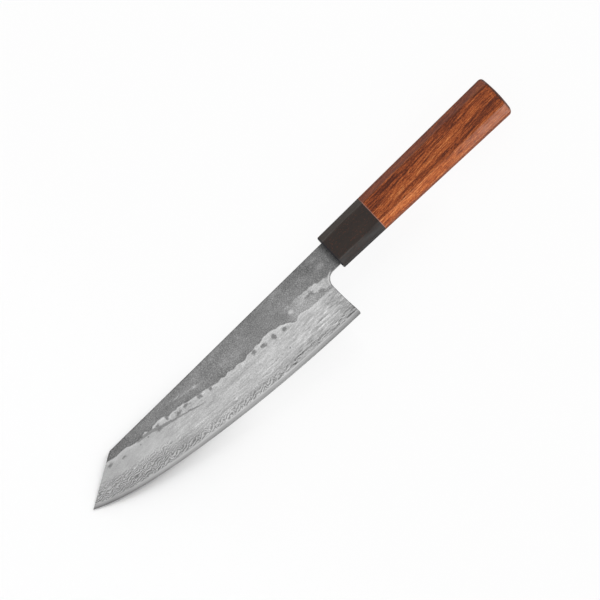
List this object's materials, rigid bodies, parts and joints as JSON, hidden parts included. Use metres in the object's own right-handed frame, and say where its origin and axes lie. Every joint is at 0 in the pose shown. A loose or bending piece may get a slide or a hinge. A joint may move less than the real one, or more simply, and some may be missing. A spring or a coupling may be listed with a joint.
{
  "type": "kiritsuke knife",
  "caption": "Kitchen knife with a clipped point, a layered blade with a dark forged upper zone and an etched lower zone, and a tapered octagonal wooden handle with a dark ferrule.",
  "frame": {"origin": "middle of the knife's box in plan, at the level of the lowest point of the handle, where the knife lies on its right side", "axes": "+X from the point to the butt, +Y from the cutting edge to the spine, +Z out of the blade's left face"},
  "size_m": [0.3346, 0.0502, 0.023],
  "materials": {
    "core_steel": "fine satin, ground lengthwise along the edge",
    "cladding": "etched wavy layers below, dull dark forge scale above",
    "ferrule_wood": "near-black, satin",
    "handle_wood": "oiled rosewood with dark streaks, satin",
    "dowel_wood": "plain turned hardwood",
    "resin": "cured amber resin",
    "seal": "cured dark seal"
  },
  "bodies": {
    "root": {"core_steel": "core_steel", "cladding_left": "cladding", "cladding_right": "cladding", "ferrule": "ferrule_wood", "handle_body": "handle_wood", "handle_dowel": "dowel_wood", "tang_resin": "resin", "mouth_seal": "seal"}
  },
  "joints": []
}
